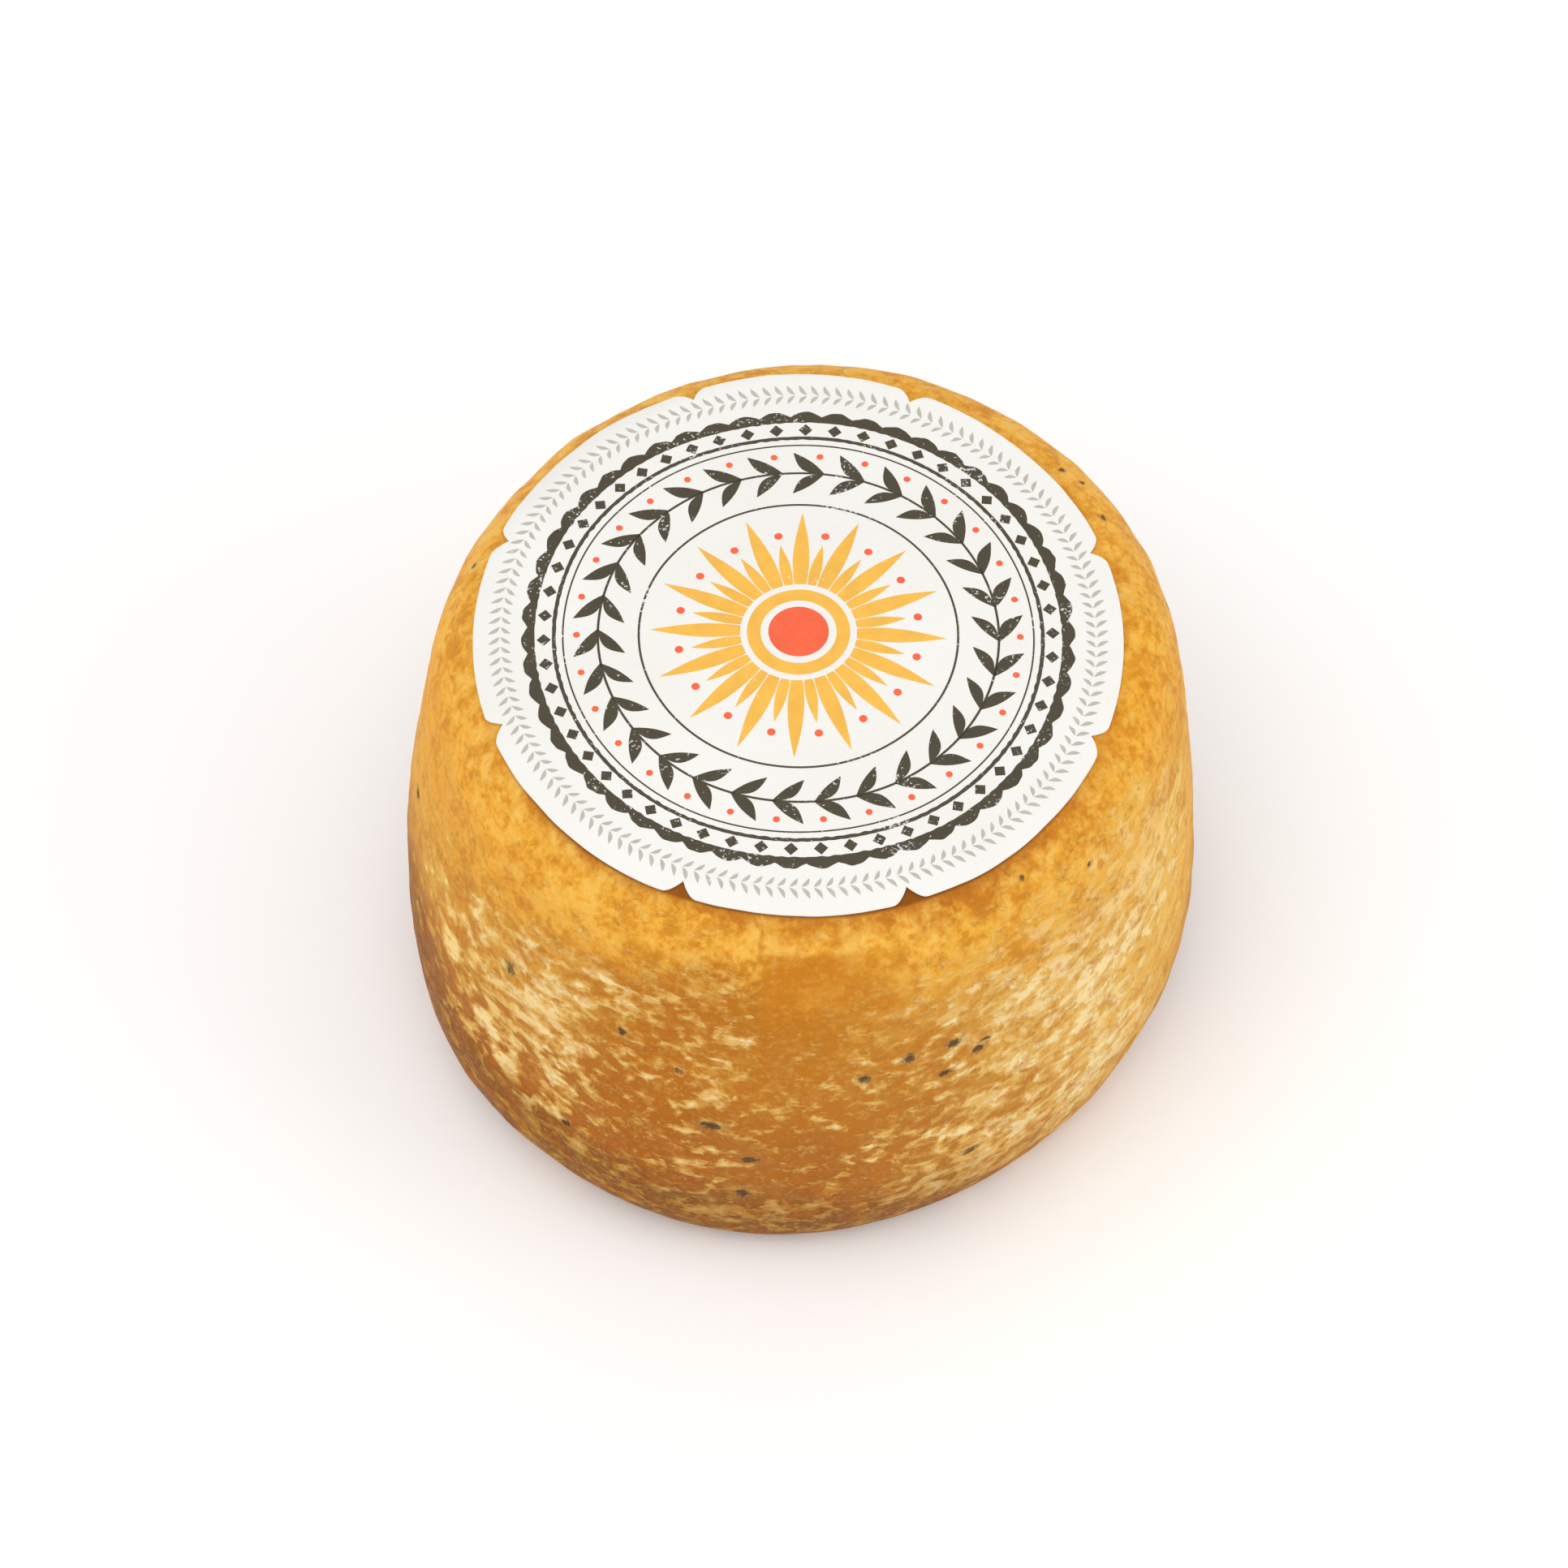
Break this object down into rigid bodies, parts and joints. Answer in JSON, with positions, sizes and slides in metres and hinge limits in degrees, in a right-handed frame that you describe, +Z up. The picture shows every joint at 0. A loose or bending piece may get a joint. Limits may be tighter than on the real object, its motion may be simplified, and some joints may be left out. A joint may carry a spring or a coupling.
{
  "type": "cheese wheel",
  "caption": "Small whole smoked cheese wheel with a mottled golden rind, rounded shoulder and foot, standing on its flat base, with a round notched paper label on its crown.",
  "frame": {"origin": "on the floor, at the middle of the wheel's outline seen from above", "axes": "+Z up along the wheel's axis, -Y towards the side the picture shows at the front, +X to its right"},
  "size_m": [0.145, 0.145, 0.1018],
  "materials": {
    "rind": "satin, lightly oiled, golden orange-brown with pale cream flecks",
    "label_paper": "matt coated off-white paper with flat print"
  },
  "bodies": {
    "root": {"wheel": "rind", "label": "label_paper"}
  },
  "joints": []
}
